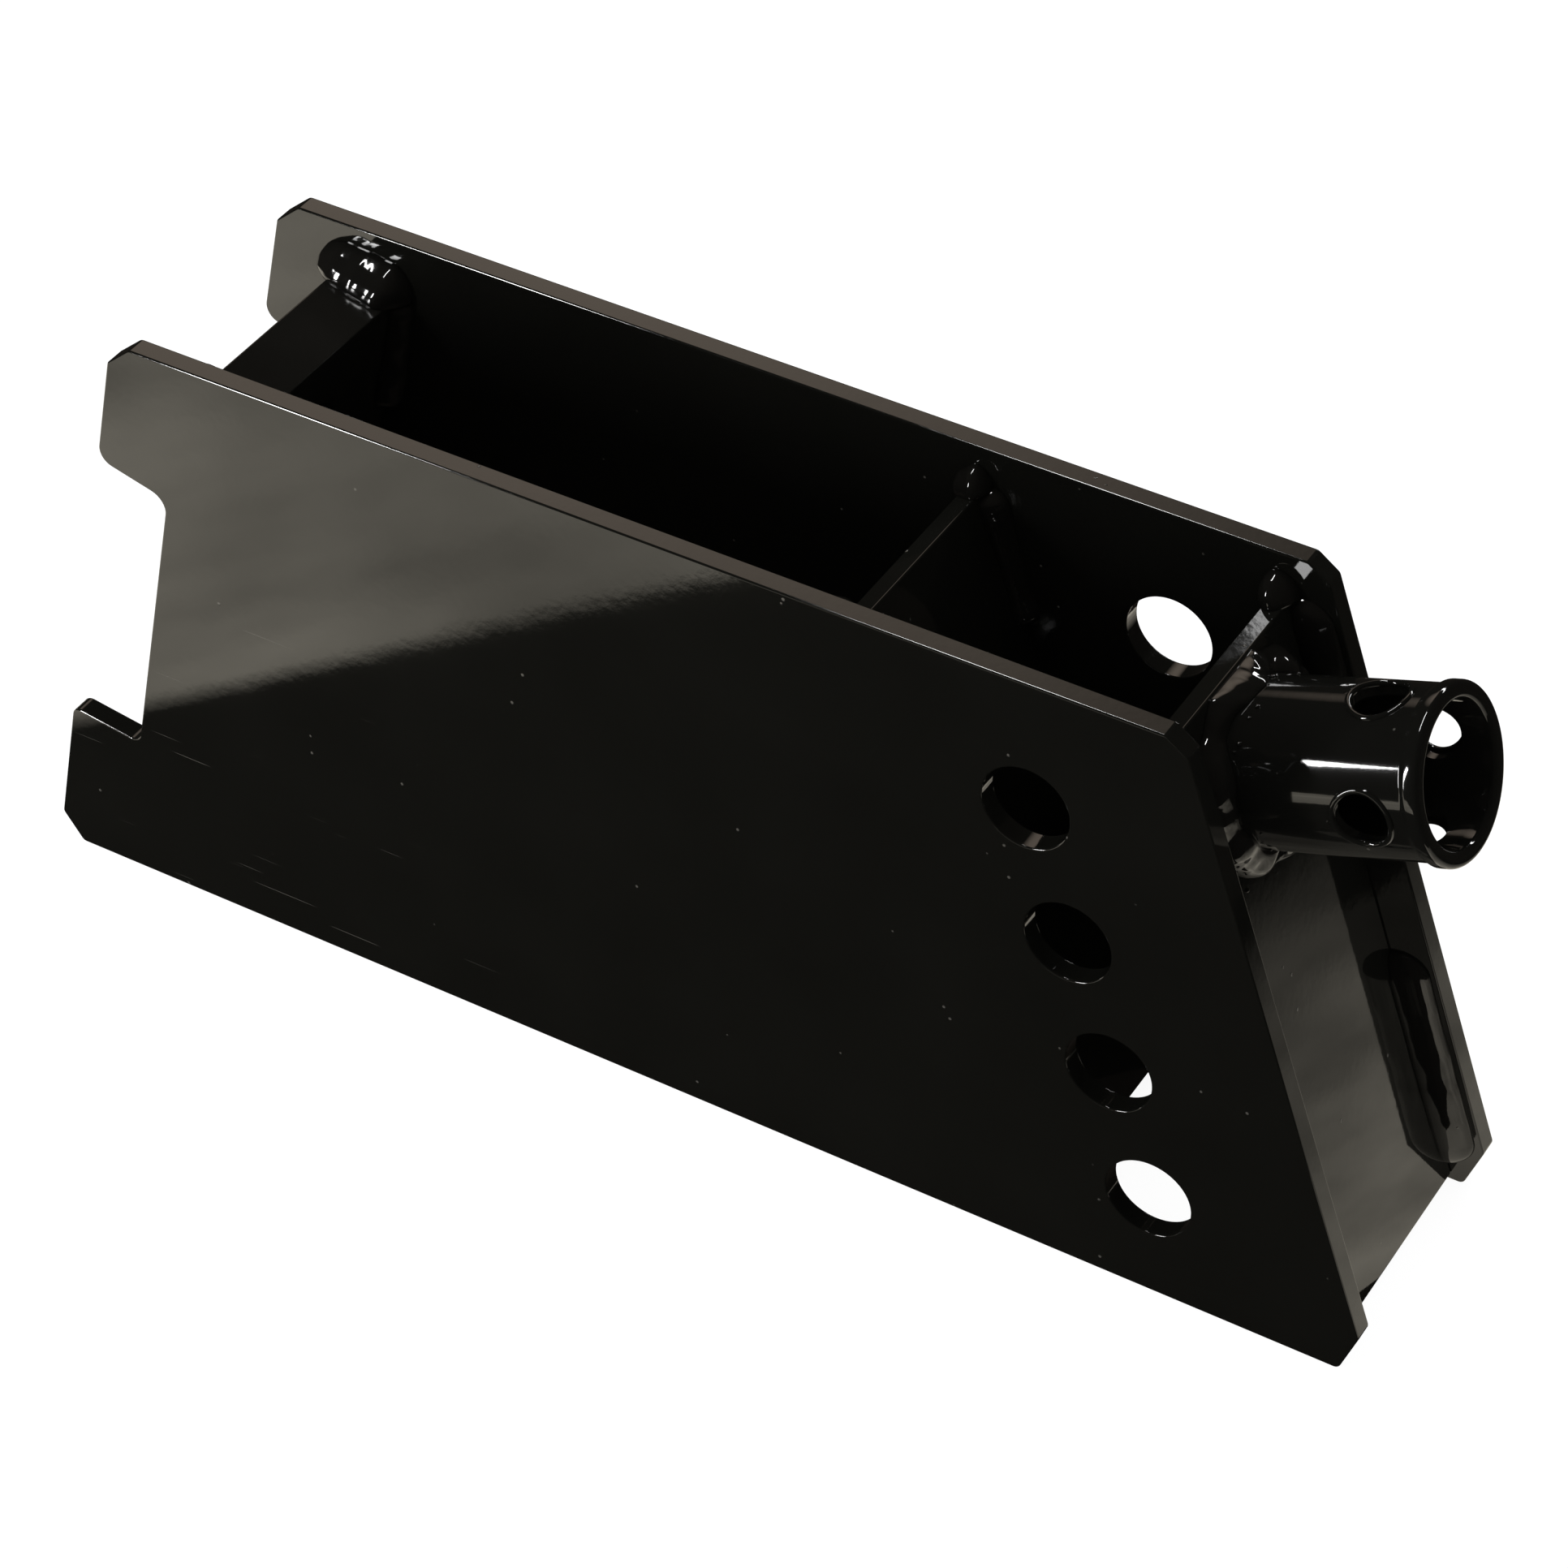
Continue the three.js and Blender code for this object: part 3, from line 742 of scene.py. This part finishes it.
# ---- studio, in metres -----------------------------------------------------------------------
FLOOR_SIZE = 6.0
FLOOR_DROP = 0.0002
FLOOR_COLOUR = (0.12, 0.12, 0.12, 1)
FLOOR_GLOW = 0.93           # keeps the floor white and its shadows faint
WHITE_ROOM = 1.06

TOP_REFLECTION = Vector((-0.50, 0.66, 0.56)).normalized()   # where the upper edges look
GLOSSY_DARK = 0.015
GLOSSY_PATCH = 1.2
GLOSSY_COLOUR = (1.0, 0.83, 0.68, 1)

WARM = (1.0, 0.93, 0.78)
CARD_Z = -0.001
MOTTLE_SCALE = 7            # patches across a card
FRONT_CARD_EDGE = Vector((-0.167, -0.167, CARD_Z))
FRONT_CARD_OUTWARD = Vector((-0.776, -0.63, 0))
FRONT_CARD_SIZE = (0.44, 0.9)
END_CARD_EDGE = Vector((0.20, 0.005, CARD_Z))
END_CARD_TOWARD = Vector((-0.82, -0.57, 0))
END_CARD_SIZE = (0.34, 0.4)

KEY_DIRECTION = Vector((-0.666, -0.728, 0.156))     # seen from the tube
KEY_DISTANCE = 1.1
TOP_STRIP_OFFSET = Vector((-0.45, 0.10, 1.0))
REAR_STRIP_PLACE = (0.2, 1.2, 0.9)
REAR_STRIP_TARGET = (0, 0, 0.1)


def glow(name, strength, colour, rise_start, rise_end):
    """Mottled glow that rises along the card's own X between two shares of its width."""
    material = bpy.data.materials.new(name)
    material.use_nodes = True
    tree = material.node_tree
    tree.nodes.clear()
    coords = node(tree, "ShaderNodeTexCoord").outputs["Generated"]
    split = node(tree, "ShaderNodeSeparateXYZ")
    tree.links.new(coords, split.inputs["Vector"])
    rise = remap(tree, split.outputs["X"], rise_start, rise_end, 0, strength)
    mottle = remap(tree, noise_texture(tree, coords, MOTTLE_SCALE, 4), 0.3, 0.7, 0.55, 1.15)
    light = node(tree, "ShaderNodeEmission")
    light.inputs["Color"].default_value = (*colour, 1)
    tree.links.new(arithmetic(tree, "MULTIPLY", rise, mottle), light.inputs["Strength"])
    out = node(tree, "ShaderNodeOutputMaterial")
    tree.links.new(light.outputs["Emission"], out.inputs["Surface"])
    return material


def grid_object(name, segments, size):
    """Flat square grid lying level round the origin; `size` is half its width."""
    bm = bmesh.new()
    bmesh.ops.create_grid(bm, x_segments=segments, y_segments=segments, size=size)
    mesh = bpy.data.meshes.new(name)
    bm.to_mesh(mesh)
    bm.free()
    made = bpy.data.objects.new(name, mesh)
    bpy.context.scene.collection.objects.link(made)
    return made


def card(name, centre, direction_x, size, material):
    """Level reflector, seen only in reflections; it throws no light on the floor."""
    made = grid_object(name, 1, 0.5)
    made.data.transform(Matrix.Diagonal((*size, 1, 1)))
    x_axis = direction_x.normalized()
    up = Vector((0, 0, 1))
    made.matrix_world = basis(x_axis, up.cross(x_axis), up, centre)
    made.data.materials.append(material)
    made.visible_camera = False
    made.visible_diffuse = False
    made.visible_shadow = False


def floor():
    made = grid_object("floor", 4, FLOOR_SIZE)
    made.location.z = CAD_BOX[0].z - FLOOR_DROP
    material = bpy.data.materials.new("pale_floor")
    material.use_nodes = True
    shader = material.node_tree.nodes["Principled BSDF"]
    shader.inputs["Base Color"].default_value = FLOOR_COLOUR
    shader.inputs["Emission Color"].default_value = (1, 1, 1, 1)
    shader.inputs["Emission Strength"].default_value = FLOOR_GLOW
    shader.inputs["Roughness"].default_value = 0.9
    shader.inputs["Specular IOR Level"].default_value = 0.0
    made.data.materials.append(material)
    made.visible_glossy = False


def surround():
    """White for the eye and diffuse light; in reflections dark but for one warm patch."""
    world = bpy.data.worlds.new("studio")
    bpy.context.scene.world = world
    world.use_nodes = True
    tree = world.node_tree
    tree.nodes.clear()
    rays = node(tree, "ShaderNodeLightPath")
    direction = node(tree, "ShaderNodeTexCoord").outputs["Generated"]
    aligned = node(tree, "ShaderNodeVectorMath", operation="DOT_PRODUCT")
    tree.links.new(direction, aligned.inputs[0])
    aligned.inputs[1].default_value = TOP_REFLECTION
    patch = remap(tree, aligned.outputs["Value"], 0.966, 0.998, GLOSSY_DARK, GLOSSY_PATCH)
    dark = node(tree, "ShaderNodeBackground")
    dark.inputs["Color"].default_value = GLOSSY_COLOUR
    tree.links.new(patch, dark.inputs["Strength"])
    white = node(tree, "ShaderNodeBackground")
    white.inputs["Strength"].default_value = WHITE_ROOM
    pick = node(tree, "ShaderNodeMixShader")
    tree.links.new(rays.outputs["Is Glossy Ray"], pick.inputs["Fac"])
    tree.links.new(white.outputs["Background"], pick.inputs[1])
    tree.links.new(dark.outputs["Background"], pick.inputs[2])
    out = node(tree, "ShaderNodeOutputWorld")
    tree.links.new(pick.outputs["Shader"], out.inputs["Surface"])


def softbox(name, place, target, width, depth, watts):
    data = bpy.data.lights.new(name, "AREA")
    data.shape = "RECTANGLE"
    data.size = width
    data.size_y = depth
    data.energy = watts
    made = bpy.data.objects.new(name, data)
    made.location = place
    aim = Vector(target) - Vector(place)
    made.rotation_euler = aim.to_track_quat("-Z", "Y").to_euler()
    made.visible_camera = False
    bpy.context.scene.collection.objects.link(made)


def studio():
    floor()
    surround()
    tube_mid = (TUBE_ROOT + SLEEVE_OUT * TUBE_LENGTH / 2) * MM
    softbox("key_softbox", tube_mid + KEY_DIRECTION * KEY_DISTANCE, tube_mid, 0.09, 0.50, 9)
    softbox("top_strip", tube_mid + TOP_STRIP_OFFSET, tube_mid, 0.5, 0.08, 5)
    softbox("rear_strip", REAR_STRIP_PLACE, REAR_STRIP_TARGET, 0.9, 0.10, 6)
    front_middle = FRONT_CARD_EDGE + FRONT_CARD_OUTWARD * FRONT_CARD_SIZE[0] / 2
    card("front_card", front_middle, FRONT_CARD_OUTWARD, FRONT_CARD_SIZE,
         glow("front_glow", 1.75, WARM, 0.0, 0.02))
    end_middle = END_CARD_EDGE - END_CARD_TOWARD * END_CARD_SIZE[0] / 2
    card("end_card", end_middle, END_CARD_TOWARD, END_CARD_SIZE,
         glow("end_glow", 1.1, WARM, 0.1, 0.95))


# ---- camera --------------------------------------------------------------------------------
CAMERA_AZIMUTH = math.radians(30.42)
CAMERA_ELEVATION = math.radians(40.87)
CAMERA_ROLL = math.radians(-0.23)
CAMERA_DISTANCE = 1.2985
CAMERA_TARGET = Vector((0.0105, 0.0, 0.0849))
CAMERA_LENS = 110.2
CAMERA_SENSOR = 36.0


def camera():
    back = Vector((math.sin(CAMERA_AZIMUTH) * math.cos(CAMERA_ELEVATION),
                   -math.cos(CAMERA_AZIMUTH) * math.cos(CAMERA_ELEVATION),
                   math.sin(CAMERA_ELEVATION)))
    data = bpy.data.cameras.new("camera")
    data.lens = CAMERA_LENS
    data.sensor_width = CAMERA_SENSOR
    made = bpy.data.objects.new("camera", data)
    made.location = CAMERA_TARGET + back * CAMERA_DISTANCE
    level = (-back).to_track_quat("-Z", "Y").to_matrix()
    made.rotation_euler = (level @ Matrix.Rotation(-CAMERA_ROLL, 3, "Z")).to_euler()
    bpy.context.scene.collection.objects.link(made)
    bpy.context.scene.camera = made


# ---- build ---------------------------------------------------------------------------------
camera()
coat_of = coats()
side_plate("side_plate_front", -1, coat_of["plate_coat"])
side_plate("side_plate_rear", 1, coat_of["plate_coat"])
cross_members(coat_of)
stub_tube(coat_of["tube_coat"])
root_weld(coat_of["weld_coat"])
side_welds("front", -1, coat_of["weld_coat"])
side_welds("rear", 1, coat_of["weld_coat"])
spatter(coat_of["weld_coat"])
studio()
bpy.context.scene.view_settings.view_transform = "Standard"
